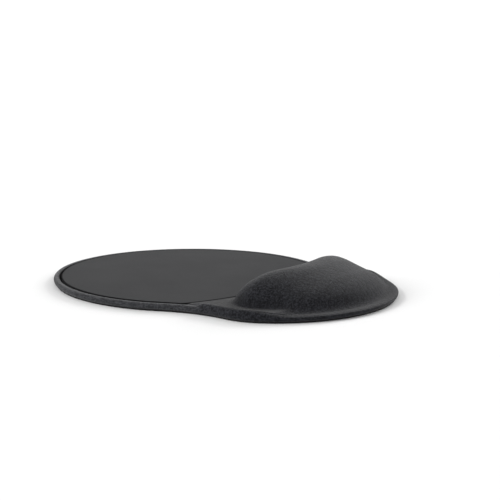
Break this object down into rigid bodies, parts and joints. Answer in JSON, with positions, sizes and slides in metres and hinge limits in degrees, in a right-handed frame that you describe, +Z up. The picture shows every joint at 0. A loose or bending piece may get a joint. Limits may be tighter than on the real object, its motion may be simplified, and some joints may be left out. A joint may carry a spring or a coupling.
{
  "type": "mouse pad with gel wrist rest",
  "caption": "Flat mouse pad with a raised rim and a built-in domed gel wrist rest at one end, covered in knitted fabric, on a non-slip base.",
  "frame": {"origin": "on the desk plane, under the middle of the pad's bounding box", "axes": "+Y towards the mouse end, -Y towards the wrist end and the user, +X to the user's right, +Z up"},
  "size_m": [0.1928, 0.258, 0.0248],
  "materials": {
    "base_rubber": "matt, fine moulded dots",
    "tape": "matt adhesive tape",
    "foam": "closed-cell foam",
    "gel": "soft clear gel",
    "film": "thin clear film",
    "cover_fabric": "fine charcoal stretch knit",
    "board": "matt",
    "surface_fabric": "smooth close-woven charcoal textile"
  },
  "bodies": {
    "root": {"base_sheet": "base_rubber", "base_tape": "tape", "foam_core": "foam", "gel_pad": "gel", "gel_film": "film", "fabric_cover": "cover_fabric", "surface_tape": "tape", "surface_board": "board", "mouse_surface": "surface_fabric"}
  },
  "joints": []
}
